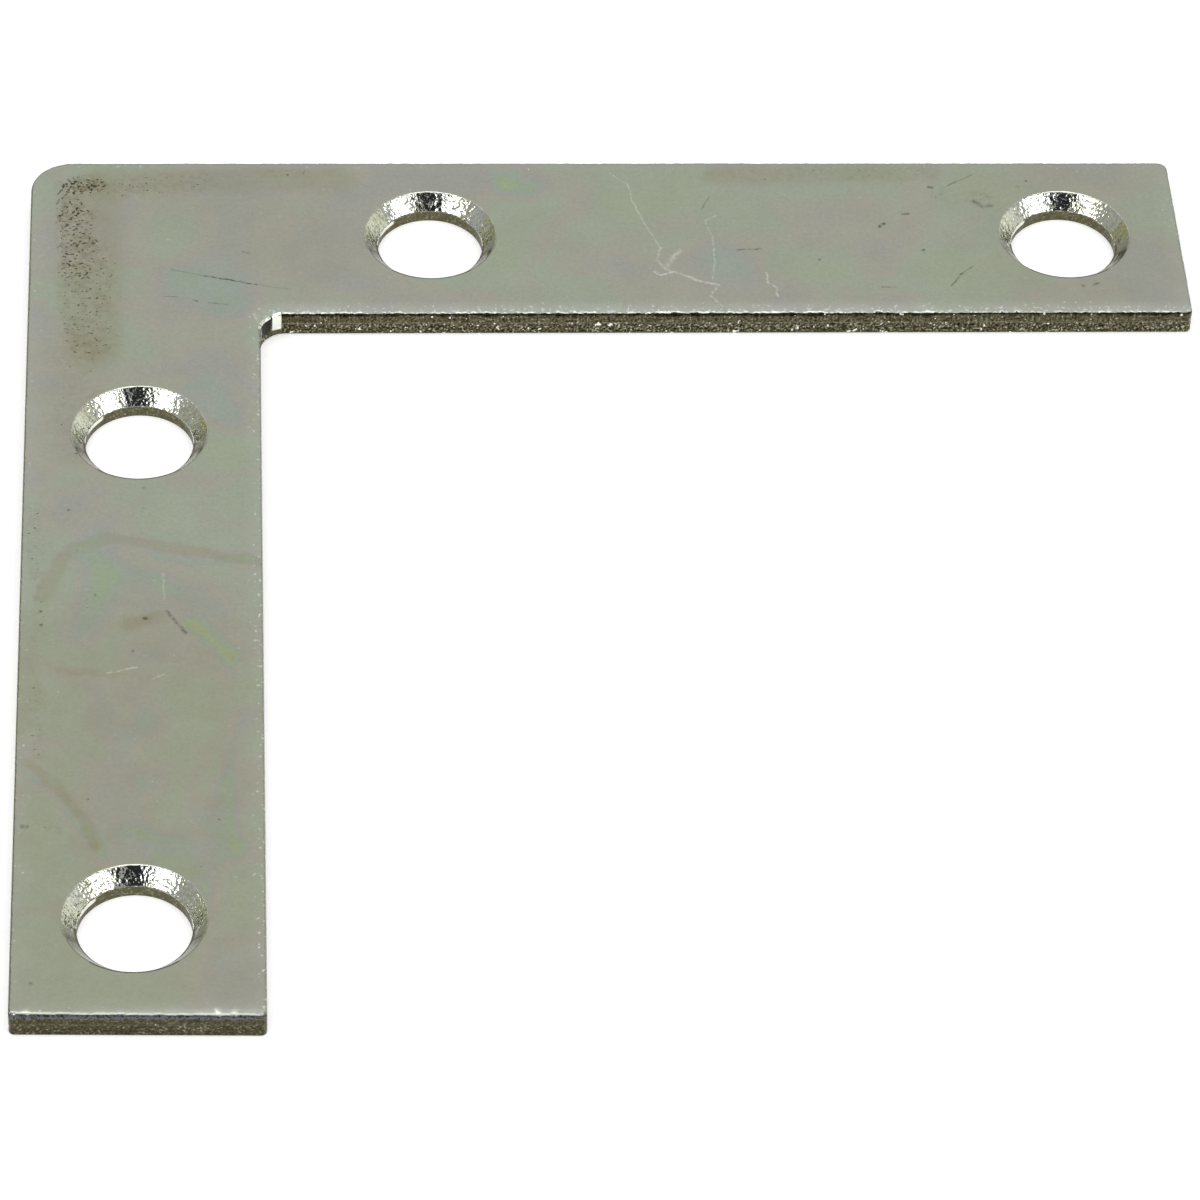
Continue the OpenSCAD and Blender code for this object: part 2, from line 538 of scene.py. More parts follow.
# %% [markdown]
# The holes are punched, and then countersunk. The countersink's rim is pressed smoothly
# into the face, with a radius of an eighth of a millimetre. Its cone is covered in tiny
# facets, tilted by a few degrees. They are why the real cones glitter, with light and dark
# specks side by side. The larger facets are in the mesh here. The near side of each cone is
# as dull as the face, and painted shade makes it and its rim darker, with a dark line of
# painted shade along its lower edge. Below the cone a short land of punched wall is left,
# with a rubbed streak on it that is painted as a bright reflection.

# %% The screw holes
HOLE_STEPS = 240
CONE_ROWS = 13
FACET_DEPTH = 0.007
LAND_ROUGHNESS = 0.004
FLAT_ROWS = (0.15, 0.05)
RIM_RADIUS = 0.12
RIM_ROWS = 5
# How near the camera's side a place on the cone is where it starts to be dull and painted
# darker, and where its rim is painted fully dark with shade (1 is the nearest point), and
# how far down the cone the line of painted shade starts
DULL_FROM = 0.32
SHADED_RIM_FROM = 0.8
SHADE_LINE_FROM = 0.8
LAND_ROWS = (0.08, 0.3, 0.55, 0.75, 0.9)
# Where the rubbed streak is on each land, in degrees, and how polished the land is there,
# which paints a bright reflection on it too
streak_angles = [-49, -44, -26, -14]
streak_polish_and_reflection = [0.2, 1.0, 1.0, 0.2]

hole_rows = []
for centre, bore_radius, sink_radius, land_height in holes:
    angles = -2 * math.pi * np.arange(HOLE_STEPS) / HOLE_STEPS
    away = np.stack([np.cos(angles), np.sin(angles)], axis=1)
    ring = (centre + bore_radius * away, -away)
    rise = thickness - land_height
    run = sink_radius - bore_radius
    cone_tilt = math.atan2(rise, run)
    rim_start = run + RIM_RADIUS * math.tan(cone_tilt / 2)
    near_side = ring[1][:, 1]
    # On the near side the cone takes the face's finish and painted shade, and painted shade darkens the
    # rim, fully on the nearest part
    dull = near_side > DULL_FROM
    cone_finish = np.where(dull, FRONT_FACE, COUNTERSINK)
    cone_painted_shade = np.where(dull, 0.9, np.clip(3 * near_side, 0, 1))
    rim_painted_shade = np.where(dull, 0.1, np.clip(near_side + 0.2, 0, 1))
    rim_painted_shade[near_side > SHADED_RIM_FROM] = 1.0
    section = [(rim_start + row, thickness, FRONT_FACE, 0.0) for row in FLAT_ROWS]
    for tilt in cone_tilt * np.arange(RIM_ROWS + 1) / RIM_ROWS:
        inset = rim_start - RIM_RADIUS * math.sin(tilt)
        height = thickness - RIM_RADIUS * (1 - math.cos(tilt))
        section.append((inset, height, FRONT_FACE if tilt < 0.3 else cone_finish, rim_painted_shade))
    cone_inset = inset
    cone_height = height
    facets = smooth_noise((CONE_ROWS + 1, HOLE_STEPS), (0.8, 0.8))
    coarse = 0.9 + 0.3 * smooth_noise((HOLE_STEPS,), (16,))
    for row in range(1, CONE_ROWS + 1):
        share = row / CONE_ROWS
        fade = min(1.0, 2 * (1 - share) + 0.3)
        lift = FACET_DEPTH * fade * np.clip(coarse * facets[row], -2.4, 2.4)
        inset = cone_inset * (1 - share) - lift * math.sin(cone_tilt)
        height = cone_height + share * (land_height - cone_height) + lift * math.cos(cone_tilt)
        # A dark line of painted shade at the foot of the cone on its near side
        if share > SHADE_LINE_FROM:
            section.append((inset, height, COUNTERSINK, np.where(near_side > 0, 1.0, 0.0)))
        else:
            section.append((inset, height, cone_finish, cone_painted_shade))
    roughness = smooth_noise((len(LAND_ROWS), HOLE_STEPS), (1.0, 1.2))
    for row, share in enumerate(LAND_ROWS):
        inset = LAND_ROUGHNESS * (1 + np.clip(roughness[row], -1, 1))
        section.append((inset, land_height * (1 - share), SHEARED_EDGE, 0.0))
    section.append((0.03, 0.0, SHEARED_EDGE, 0.0))
    section.append((0.20, 0.0, BACK_FACE, 0.0))
    facing = np.degrees(np.arctan2(ring[1][:, 1], ring[1][:, 0]))
    hole_rows.append(sweep(ring, section, np.interp(facing, streak_angles, streak_polish_and_reflection)))
print("mesh of", len(mesh_faces), "faces with the holes")

# %% [markdown]
# Both faces are closed by a triangulation that keeps to the rims. On the front a few
# rounds of extra points near the rim carry the slight droop, so that it is in the mesh.

# %% Close the two faces
DROOP_ROUNDS = (0.50, 0.75, 1.0, 1.3)
DROOP_STEP = 3
CLEAR_OF_RIM = 0.40


def close_face(loops, extra, facing_up):
    """Fills the plate's face between its outer loop and the loops of its holes."""
    points = np.concatenate(mesh_points)
    openings = []
    for hole, loop in zip(holes, loops[1:]):
        openings.append((Vector(hole[0]), np.linalg.norm(points[loop[0], :2] - hole[0])))
    rim = np.concatenate(loops)
    edges = []
    start = 0
    for loop in loops:
        turn = start + np.arange(len(loop))
        edges.extend(zip(turn.tolist(), np.roll(turn, -1).tolist()))
        start += len(loop)
    first_extra = len(points)
    height = thickness - droop(rim_distance(extra[:, 0], extra[:, 1]))
    mesh_points.append(np.column_stack([extra, height]))
    mesh_polish_and_reflection.append(np.zeros(len(extra)))
    mesh_painted_shade.append(np.zeros(len(extra)))
    number = np.concatenate([rim, first_extra + np.arange(len(extra))])
    flat = [Vector(p) for p in np.concatenate([points[rim, :2], extra]).tolist()]
    found = delaunay_2d_cdt(flat, edges, [], 1, 1e-6)
    corners, triangles, origins = found[0], found[2], found[3]
    for triangle in triangles:
        middle = sum((corners[c] for c in triangle), Vector((0, 0))) / 3
        if any((middle - centre).length < radius for centre, radius in openings):
            continue
        face = [int(number[origins[c][0]]) for c in triangle]
        mesh_faces.append(face if facing_up else face[::-1])
        mesh_finishes.append(FRONT_FACE if facing_up else BACK_FACE)


rounds = [(outline[0] - inset * outline[1])[::DROOP_STEP] for inset in DROOP_ROUNDS]
rounds = np.concatenate(rounds)
rounds = rounds[rim_distance(rounds[:, 0], rounds[:, 1]) > CLEAR_OF_RIM]
close_face([outline_rows[0]] + [rows[0] for rows in hole_rows], rounds, True)
close_face([outline_rows[-1]] + [rows[-1] for rows in hole_rows], np.zeros((0, 2)), False)
print("closed mesh of", len(mesh_faces), "faces")

# %% [markdown]
# The rows become one mesh, the piece that stands for the imported plate. Polish with its
# painted reflections, and painted shade, go with it as two values of each vertex, and the
# finishes read them.

# %% Make the brace
points = np.concatenate(mesh_points) * METRES
brace_mesh = bpy.data.meshes.new("corner_brace")
brace_mesh.from_pydata(points.tolist(), [], mesh_faces)
brace_mesh.polygons.foreach_set("material_index", mesh_finishes)
brace_mesh.polygons.foreach_set("use_smooth", [True] * len(mesh_faces))
for name, values in (("punch_polish", mesh_polish_and_reflection), ("rim_painted_shade", mesh_painted_shade)):
    attribute = brace_mesh.attributes.new(name, "FLOAT", "POINT")
    attribute.data.foreach_set("value", np.concatenate(values))
brace_mesh.update()
brace = bpy.data.objects.new("corner_brace", brace_mesh)
bpy.context.scene.collection.objects.link(brace)
triangles = sum(len(face) - 2 for face in mesh_faces)
print("brace of", len(points), "points and", triangles, "triangles")

# %% [markdown]
# The finishes share one measure of place: millimetres from the heel, x along one arm and
# -y down the other, as a ruler laid on the brace would read. Marks that are wear of this
# one brace, such as a scratch, are then placed by their real position and length. A
# scratch is a chain of straight lines, and its nodes work out how far a point is from it.
# Every finish ends alike, as a metal with its own colour, roughness and relief.

# %% Helpers for the finishes
def new_metal(name):
    """The empty node tree of a new material, which is the brace's next finish."""
    material = bpy.data.materials.new(name)
    material.use_nodes = True
    material.node_tree.nodes.clear()
    brace_mesh.materials.append(material)
    return material.node_tree


def end_metal(tree, colour, roughness, height=None, metallic=1.0):
    """Ends a finish with its shader. height is its relief in millimetres."""
    metal = {"Metallic": metallic, "Base Color": colour, "Roughness": roughness}
    if height is not None:
        metal["Normal"] = add(tree, "Bump", {"Height": height, "Distance": METRES, "Strength": 1.0})
    add(tree, "OutputMaterial", {"Surface": add(tree, "BsdfPrincipled", metal)})


def ruler(tree):
    """The place on the brace in millimetres from its heel."""
    place = add(tree, "TexCoord").outputs["Object"]
    place = {0: place, 1: (1 / METRES,) * 3, 2: (half_span, -half_span, 0)}
    return add(tree, "VectorMath", place, operation="MULTIPLY_ADD")


def wandering(tree, place, size, far):
    """The same place shifted a little, so that what is drawn there bends like something real."""
    sway = add(tree, "TexNoise", {"Vector": place, "Scale": 1 / size, "Detail": 2.0}).outputs["Color"]
    sway = add(tree, "VectorMath", {0: sway, 1: (0.5, 0.5, 0.5)}, operation="SUBTRACT")
    return add(tree, "VectorMath", {0: sway, 1: (far, far, 0.0), 2: place}, operation="MULTIPLY_ADD")


def distance_to(tree, place, chain):
    """Distance from a place to a chain of straight lines, or to a single point."""
    chain = [np.array((x, y, thickness)) for x, y in chain]
    if len(chain) == 1:
        return add(tree, "VectorMath", {0: place, 1: chain[0]}, operation="DISTANCE")
    nearest = None
    for start, end in zip(chain, chain[1:]):
        line = end - start
        arm = add(tree, "VectorMath", {0: place, 1: start}, operation="SUBTRACT")
        share = add(tree, "VectorMath", {0: arm, 1: line / line.dot(line)}, operation="DOT_PRODUCT")
        share = add(tree, "Clamp", {"Value": share})
        foot = add(tree, "VectorMath", {0: line, "Scale": share}, operation="SCALE")
        gap = add(tree, "VectorMath", {0: arm, 1: foot}, operation="DISTANCE")
        if nearest is not None:
            gap = add(tree, "Math", {0: nearest, 1: gap}, operation="MINIMUM")
        nearest = gap
    return nearest


def marks(tree, place, drawn, core=0.0, join="ADD"):
    """Joins marks of (chain, half width, strength), each full as far out as its core's share."""
    total = 0.0
    for chain, width, strength in drawn:
        fall = {"From Min": core * width, "From Max": width, "To Min": strength, "To Max": 0.0}
        fall["Value"] = distance_to(tree, place, chain)
        mark = add(tree, "MapRange", fall, **SMOOTH)
        total = add(tree, "Math", {0: total, 1: mark}, operation=join)
    return total

# %% [markdown]
# Clear passivate on zinc is a film a fraction of a micron thick. Where it is thinner or
# thicker it shows another pale tint, in the order of a soap film: straw, rose, violet,
# blue-green, green and back to straw. The tints follow how the bath drained off, so the
# film's thickness is drawn first, as broad slow noise and a few tide marks, and a colour
# ramp then turns thickness into tint. This film is thin, so its tints are faint.

# %% Passivate film
POOL = 7.0
film_tints = [
    (0.00, "#A9B19B"),
    (0.18, "#A9B19F"),
    (0.34, "#AEAD9F"),
    (0.46, "#AAABA2"),
    (0.62, "#A4AEA1"),
    (0.76, "#A3B198"),
    (0.90, "#A7B58F"),
    (1.00, "#ACAF92"),
]
# The tide marks and pools of this brace: where they run, their half width, and how much
# thicker the film is there
tide_marks = [
    ([(0.9, -35.0), (2.0, -31.6), (4.2, -30.1), (7.2, -30.9), (12.3, -31.9)], 0.9, 0.20),
    ([(3.4, -31.6), (4.6, -33.0), (3.4, -35.5), (3.0, -37.5)], 1.9, 0.44),
    ([(6.3, -33.0), (7.6, -33.8)], 1.0, 0.30),
    ([(7.2, -31.4), (9.4, -31.9), (11.8, -31.6)], 0.6, 0.35),
    ([(9.0, -36.4), (10.9, -38.9)], 0.8, 0.58),
    ([(8.2, -32.9), (10.0, -35.4)], 1.5, 0.16),
    ([(6.6, -36.0), (6.0, -38.2), (8.6, -38.4)], 1.5, 0.14),
    ([(11.1, -39.2), (10.6, -43.5), (9.8, -45.6), (9.0, -48.4), (9.6, -50.4), (10.7, -53.0)], 0.8, 0.24),
    ([(11.7, -43.0), (11.0, -45.6), (10.5, -49.0), (11.2, -52.4)], 0.9, 0.44),
    ([(6.3, -44.0), (5.4, -46.0), (6.8, -47.8)], 1.8, 0.40),
    ([(4.0, -41.2), (4.2, -44.2)], 1.2, 0.26),
    ([(0.6, -47.0), (2.2, -48.7), (3.4, -50.8), (4.4, -52.9)], 0.7, 0.40),
    ([(5.6, -51.4), (8.0, -51.8), (9.5, -53.8), (10.2, -56.4)], 0.9, 0.26),
    ([(7.4, -52.9), (8.9, -54.1)], 0.8, 0.30),
    ([(9.6, -55.2), (9.9, -58.0), (10.6, -60.0)], 0.6, 0.16),
    ([(6.9, -12.4), (8.4, -10.6), (10.4, -11.6)], 3.8, 0.26),
    ([(9.0, -19.2), (10.2, -20.6)], 2.4, 0.40),
    ([(38.3, -7.9)], 3.2, 0.40),
    ([(26.6, -1.8), (27.8, -2.6)], 1.6, 0.44),
    ([(31.5, -8.6), (33.6, -9.2)], 1.5, 0.12),
]


def film_colour(tree, place, drawn):
    """The tint of the passivate film at a place."""
    pools = {"Vector": place, "Scale": 1 / POOL, "Detail": 2.5, "Distortion": 0.6}
    pools = {"Value": add(tree, "TexNoise", pools), "From Min": 0.30, "From Max": 0.70, "To Max": 0.48}
    pools = add(tree, "MapRange", pools, **SMOOTH)
    drained = marks(tree, wandering(tree, place, 2.2, 1.6), drawn)
    film = add(tree, "Math", {0: pools, 1: drained}, operation="ADD")
    tint = add(tree, "ValToRGB", {"Fac": film})
    set_stops(tint, film_tints)
    return tint

# %% [markdown]
# Under the film is the skin of the rolled strip: semi-bright, so it blurs what it reflects
# over a few degrees, with a grain finer than a quarter of a millimetre and a slow
# unevenness over a few millimetres. Both only make the metal a little lighter or darker.

# %% Skin of the rolled strip
GRAIN = 0.22
UNEVENNESS = 2.2


def rolled_skin(tree, place, colour):
    """The colour made slightly uneven, as rolled and plated strip is."""
    grain = add(tree, "TexNoise", {"Vector": place, "Scale": 1 / GRAIN, "Detail": 2.0, "Roughness": 0.6})
    slow = add(tree, "TexNoise", {"Vector": place, "Scale": 1 / UNEVENNESS, "Detail": 3.0})
    grain = add(tree, "Math", {0: grain, 1: 0.22, 2: 0.89}, operation="MULTIPLY_ADD")
    slow = add(tree, "Math", {0: slow, 1: 0.12, 2: 0.94}, operation="MULTIPLY_ADD")
    shade = add(tree, "Math", {0: grain, 1: slow}, operation="MULTIPLY")
    return add(tree, "VectorMath", {0: colour, "Scale": shade}, operation="SCALE")

# %% [markdown]
# Wear and a painted sheen follow the rim: it is paler within a millimetre, from wear all
# round and from painted sheen most of all along the near edges, and the brink of the y
# arm's end is beaded with a painted highlight. The finish therefore needs to know how far
# a point is from each edge.

# %% Worn rims
RUB_PATCH = 1.3
PAINTED_HIGHLIGHT_BEAD = 0.5


def rim_distances(tree, place):
    """How far a place is, along the face, from the rims, and from the outer edge at the left."""
    down_and_across = add(tree, "VectorMath", {0: place, 1: (1.0, -1.0, 0.0)}, operation="MULTIPLY")
    arm = (arm_width, arm_width, 0.0)
    short = add(tree, "VectorMath", {0: arm, 1: down_and_across}, operation="SUBTRACT")
    short = add(tree, "VectorMath", {0: short, 1: (0.0, 0.0, 0.0)}, operation="MAXIMUM")
    to_inner = add(tree, "VectorMath", {0: short}, operation="LENGTH")
    across = add(tree, "SeparateXYZ", {0: down_and_across}).outputs
    left_over = add(tree, "VectorMath", {0: (span, span, 0.0), 1: down_and_across}, operation="SUBTRACT")
    to_tips = add(tree, "SeparateXYZ", {0: left_over}).outputs
    to_rim = to_inner
    for distance in (across["X"], across["Y"], to_tips["X"], to_tips["Y"]):
        to_rim = add(tree, "Math", {0: to_rim, 1: distance}, operation="MINIMUM")
    return {"rim": to_rim, "inner": to_inner, "y tip": to_tips["Y"], "left": across["X"]}


def rim_wear_and_sheen(tree, place, colour):
    """The colour paler along the rims, from wear and painted sheen, with a painted highlight at the y
    tip.
    """
    far = rim_distances(tree, place)
    strengths = {}
    # The near edge and the near tip add painted sheen where those rims face the camera
    for name, distance, full, gone, strength in (
        ("rims", far["rim"], 0.15, 1.2, 0.16),
        ("near edge", far["inner"], 0.1, 1.2, 0.40),
        ("near tip", far["y tip"], 0.1, 0.7, 0.30),
        ("painted_brink_highlight", far["y tip"], 0.16, 0.34, 0.4),
    ):
        fall = {"Value": distance, "From Min": full, "From Max": gone, "To Min": strength, "To Max": 0.0}
        strengths[name] = add(tree, "MapRange", fall, **SMOOTH)
    beyond = {"Value": far["left"], "From Min": arm_width - 0.5, "From Max": arm_width + 1.5}
    beyond = add(tree, "MapRange", beyond, **SMOOTH)
    wear_and_sheen = {0: strengths["near edge"], 1: beyond, 2: strengths["rims"]}
    wear_and_sheen = add(tree, "Math", wear_and_sheen, operation="MULTIPLY_ADD")
    wear_and_sheen = add(tree, "Math", {0: strengths["near tip"], 1: wear_and_sheen}, operation="ADD")
    patchy = add(tree, "TexNoise", {"Vector": place, "Scale": 1 / RUB_PATCH, "Detail": 3.0})
    patchy = add(tree, "Math", {0: patchy, 1: 2.0}, operation="MULTIPLY")
    wear_and_sheen = add(tree, "Math", {0: wear_and_sheen, 1: patchy}, operation="MULTIPLY")
    beads = add(tree, "TexNoise", {"Vector": place, "Scale": 1 / PAINTED_HIGHLIGHT_BEAD, "Detail": 1.0})
    beads = add(tree, "MapRange", {"Value": beads, "From Min": 0.4, "From Max": 0.6, "To Min": 0.4})
    painted_brink_highlight = add(tree, "Math", {0: strengths["painted_brink_highlight"], 1: beads}, operation="MULTIPLY")
    # Coats: paleness from wear and painted sheen, then the painted highlight at the y arm's brink
    for share, coat in ((wear_and_sheen, "#C2C6BE"), (painted_brink_highlight, "#D8DEE8")):
        colour = add(tree, "Mix", {"Factor": share, "A": colour, "B": coat}, data_type="RGBA")
    return colour

# %% [markdown]
# Round the heel the strip was rusty before it was plated, and the zinc copied the pits. A
# brown cast lies on that ground. It comes back along a tide mark and at the far edge. The
# cast is drawn in broad blotchy strokes.

# %% Brown cast
BLOTCH = 1.6
brown_strokes = [
    ([(3.5, -2.8), (3.5, -15.0)], 2.4, 0.62),
    ([(3.2, -15.0), (3.0, -23.0)], 2.2, 0.25),
    ([(4.0, -1.6), (17.0, -1.4)], 1.5, 0.45),
    ([(9.0, -3.5), (15.0, -7.0)], 4.5, 0.16),
    ([(38.0, -1.1), (50.0, -0.9)], 1.2, 0.38),
    ([(1.2, -34.5), (2.4, -31.2), (4.5, -30.1), (7.5, -30.9), (12.2, -31.9)], 0.6, 0.5),
    ([(0.2, -36.0), (0.5, -40.0), (0.2, -44.0)], 0.8, 0.3),
    ([(0.6, -46.6), (2.2, -48.3), (3.4, -50.3), (4.2, -52.2)], 0.5, 0.5),
    ([(5.8, -36.4), (7.2, -36.0)], 0.7, 0.5),
    ([(2.2, -39.8), (5.0, -40.2)], 0.4, 0.4),
    ([(6.3, -42.0), (6.3, -63.0)], 12.0, 0.45),
    ([(57.0, -4.0), (57.0, -9.0)], 8.0, 0.22),
]


def brown_cast(tree, place, colour):
    """The colour stained brown where the strokes are."""
    cast = marks(tree, wandering(tree, place, 1.6, 0.9), brown_strokes, core=0.3)
    blotch = {"Vector": place, "Scale": 1 / BLOTCH, "Detail": 4.0, "Roughness": 0.6}
    blotch = add(tree, "TexNoise", blotch)
    blotch = add(tree, "Math", {0: blotch, 1: 1.3}, operation="MULTIPLY")
    cast = add(tree, "Math", {0: cast, 1: blotch}, operation="MULTIPLY", use_clamp=True)
    return add(tree, "Mix", {"Factor": cast, "A": colour, "B": "#9B977C"}, data_type="RGBA")

# %% [markdown]
# Pits are dark dots of about a tenth of a millimetre. A fine noise gives them: its peaks
# are the pits. They crowd where the strip was rusty, and there they are also deep enough
# to go into a bump as well, with a painted highlight beside them for their lit side. Pale
# specks are a little larger, partly rub marks and partly painted glints, and they crowd
# along the rims.

# %% Pits and specks
PIT = 0.19
PIT_DEPTH = 0.035
PIT_CROWD = 0.9
MOTTLE = 0.4
SPECK = 0.22
rusty_ground = [
    ([(2.2, -2.2), (3.4, -2.0)], 1.2, 0.92),
    ([(2.2, -3.4), (2.2, -5.5)], 1.1, 0.84),
    ([(2.6, -4.5), (2.7, -9.0)], 1.6, 0.74),
    ([(3.2, -8.0), (3.3, -15.0)], 2.2, 0.55),
    ([(2.8, -15.0), (2.7, -23.0)], 1.9, 0.28),
    ([(3.6, -2.2), (9.5, -1.7)], 1.4, 0.44),
    ([(13.2, -0.8), (15.0, -1.0)], 0.5, 0.5),
    ([(38.0, -1.0), (50.0, -0.9)], 0.8, 0.32),
    ([(50.6, -2.6), (53.0, -3.2)], 0.9, 0.36),
    ([(1.0, -32.0), (1.1, -38.0)], 0.4, 0.38),
    ([(0.9, -41.0), (1.2, -46.0)], 0.5, 0.36),
    ([(0.6, -28.0), (0.7, -33.0)], 0.6, 0.38),
    ([(1.2, -50.8), (2.5, -51.2)], 0.3, 0.5),
]


def pale_specks_and_glints(tree, place, colour):
    """The colour with pale specks in it, partly rub marks and partly painted glints."""
    far = rim_distances(tree, place)
    close = {"Value": far["rim"], "From Min": 0.1, "From Max": 1.4, "To Min": 0.075, "To Max": 0.0}
    close = add(tree, "MapRange", close, **SMOOTH)
    inner = {"Value": far["inner"], "From Min": 0.1, "From Max": 1.3, "To Min": 0.12, "To Max": 0.0}
    inner = add(tree, "MapRange", inner, **SMOOTH)
    beyond = {"Value": far["left"], "From Min": arm_width - 1.5, "From Max": arm_width + 1.0}
    inner = add(tree, "Math", {0: inner, 1: add(tree, "MapRange", beyond)}, operation="MULTIPLY")
    rub = add(tree, "TexNoise", {"Vector": place, "Scale": 1 / SPECK, "Detail": 2.0, "Roughness": 0.6})
    for crowding in (close, inner):
        rub = add(tree, "Math", {0: rub, 1: crowding}, operation="ADD")
    # Pale specks: rub marks and painted glints, crowded along the rims and the near edge
    specks_and_glints = {"Value": rub, "From Min": 0.75, "From Max": 0.82, "To Max": 0.85}
    specks_and_glints = add(tree, "MapRange", specks_and_glints, **SMOOTH)
    return add(tree, "Mix", {"Factor": specks_and_glints, "A": colour, "B": "#DEE2E0"}, data_type="RGBA")


def dark_pits(tree, place, colour):
    """The colour with dark pits and their painted highlights, and the pits' height in millimetres."""
    rusty = marks(tree, wandering(tree, place, 1.2, 1.0), rusty_ground, core=0.4, join="MAXIMUM")
    crowd = add(tree, "TexNoise", {"Vector": place, "Scale": 1 / PIT_CROWD, "Detail": 2.0})
    crowd = add(tree, "Math", {0: crowd, 1: 0.8, 2: 0.6}, operation="MULTIPLY_ADD")
    rusty = add(tree, "Math", {0: rusty, 1: crowd}, operation="MULTIPLY")
    fine = add(tree, "TexNoise", {"Vector": place, "Scale": 1 / PIT, "Detail": 1.5, "Roughness": 0.5})
    peak = add(tree, "Math", {0: rusty, 1: 0.27, 2: fine}, operation="MULTIPLY_ADD")
    pits = add(tree, "MapRange", {"Value": peak, "From Min": 0.78, "From Max": 0.88}, **SMOOTH)
    height = add(tree, "Math", {0: pits, 1: -PIT_DEPTH}, operation="MULTIPLY")
    depth = {"Value": rusty, "From Min": 0.4, "From Max": 0.9, "To Min": 0.50, "To Max": 1.0}
    depth = add(tree, "MapRange", depth)
    pits = add(tree, "Math", {0: pits, 1: depth}, operation="MULTIPLY")
    mottle = {"Vector": place, "Scale": 1 / MOTTLE, "Detail": 2.0, "Roughness": 0.6}
    mottle = add(tree, "TexNoise", mottle)
    mottle = add(tree, "MapRange", {"Value": mottle, "From Min": 0.42, "From Max": 0.68})
    for share in (rusty, depth):
        mottle = add(tree, "Math", {0: mottle, 1: share}, operation="MULTIPLY")
    # Painted highlight for the lit side of the pits, at the low points of the same fine noise
    painted_lit_side = add(tree, "MapRange", {"Value": fine, "From Min": 0.31, "From Max": 0.22, "To Max": 0.7})
    painted_lit_side = add(tree, "Math", {0: painted_lit_side, 1: rusty}, operation="MULTIPLY")
    for share, coat in ((mottle, "#8A8168"), (painted_lit_side, "#CCCCBC"), (pits, "#545040")):
        colour = add(tree, "Mix", {"Factor": share, "A": colour, "B": coat}, data_type="RGBA")
    return colour, height

# %% [markdown]
# The brace has been handled and packed with others. Some scratches cut through the plating
# and read dark. Others only burnished it, and read pale. Both wander slightly and break
# off here and there, as a scratch does that a loose burr made. The pale list also holds
# painted glints on the chips at the y arm's tip.

# %% Scratches
SCRATCH_BREAK = 0.22
dark_scratches = [
    ([(1.5, -2.7), (1.8, -2.0)], 0.10, 0.9),
    ([(1.75, -3.1), (2.1, -2.3)], 0.10, 0.9),
    ([(1.45, -3.5), (1.6, -3.1)], 0.09, 0.8),
    ([(2.0, -1.4), (2.3, -1.9)], 0.10, 0.8),
    ([(2.3, -1.3), (2.6, -1.8)], 0.09, 0.7),
    ([(3.0, -1.9), (3.35, -2.3)], 0.09, 0.7),
    ([(3.5, -2.1), (3.7, -1.9)], 0.09, 0.7),
    ([(1.5, -4.6), (1.65, -5.0)], 0.09, 0.7),
    ([(1.5, -7.2), (1.8, -6.9)], 0.09, 0.6),
    ([(7.8, -9.0), (9.6, -9.5)], 0.07, 0.45),
    ([(9.6, -9.5), (12.4, -10.2)], 0.09, 0.9),
    ([(12.4, -10.2), (14.2, -10.6)], 0.06, 0.45),
    ([(7.3, -11.2), (8.1, -11.2)], 0.08, 0.5),
    ([(9.0, -11.5), (9.2, -11.55)], 0.11, 0.6),
    ([(9.8, -11.7), (10.8, -11.8)], 0.09, 0.55),
    ([(11.7, -7.55), (12.0, -7.6)], 0.09, 0.6),
    ([(37.6, -2.9), (37.1, -4.0)], 0.07, 0.5),
    ([(38.9, -7.4), (40.2, -7.3)], 0.08, 0.7),
    ([(48.3, -4.4), (48.6, -4.4)], 0.16, 0.8),
    ([(46.9, -5.5), (47.2, -5.2)], 0.15, 0.8),
    ([(49.2, -7.4)], 0.16, 0.9),
    ([(43.4, -8.25)], 0.13, 0.8),
    ([(49.9, -2.1), (50.1, -2.15)], 0.16, 0.7),
    ([(46.7, -10.5), (47.4, -10.5)], 0.10, 0.6),
    ([(51.8, -8.8), (51.1, -9.5), (50.5, -10.4)], 0.09, 0.8),
    ([(51.0, -2.0), (51.8, -1.5), (52.4, -1.1)], 0.08, 0.5),
    ([(52.3, -3.3), (52.8, -3.8), (53.3, -3.7)], 0.22, 0.6),
    ([(54.9, -2.1)], 0.15, 0.9),
    ([(55.4, -1.6)], 0.15, 0.8),
    ([(57.8, -10.4)], 0.16, 0.7),
    ([(58.4, -10.35), (58.7, -10.2)], 0.14, 0.6),
    ([(7.6, -35.6), (8.6, -37.2)], 0.16, 0.6),
    ([(6.5, -36.1)], 0.20, 0.9),
    ([(5.9, -38.5)], 0.15, 0.8),
    ([(1.1, -35.6)], 0.18, 0.9),
    ([(1.15, -36.6)], 0.16, 0.8),
    ([(6.35, -26.3)], 0.14, 0.8),
    ([(2.45, -28.0)], 0.13, 0.8),
    ([(0.45, -50.9), (0.7, -50.9)], 0.16, 0.9),
    ([(1.05, -61.5)], 0.20, 0.6),
    ([(3.7, -49.0)], 0.12, 0.6),
    ([(10.3, -50.5)], 0.12, 0.6),
    ([(3.9, -34.4)], 0.13, 0.7),
]
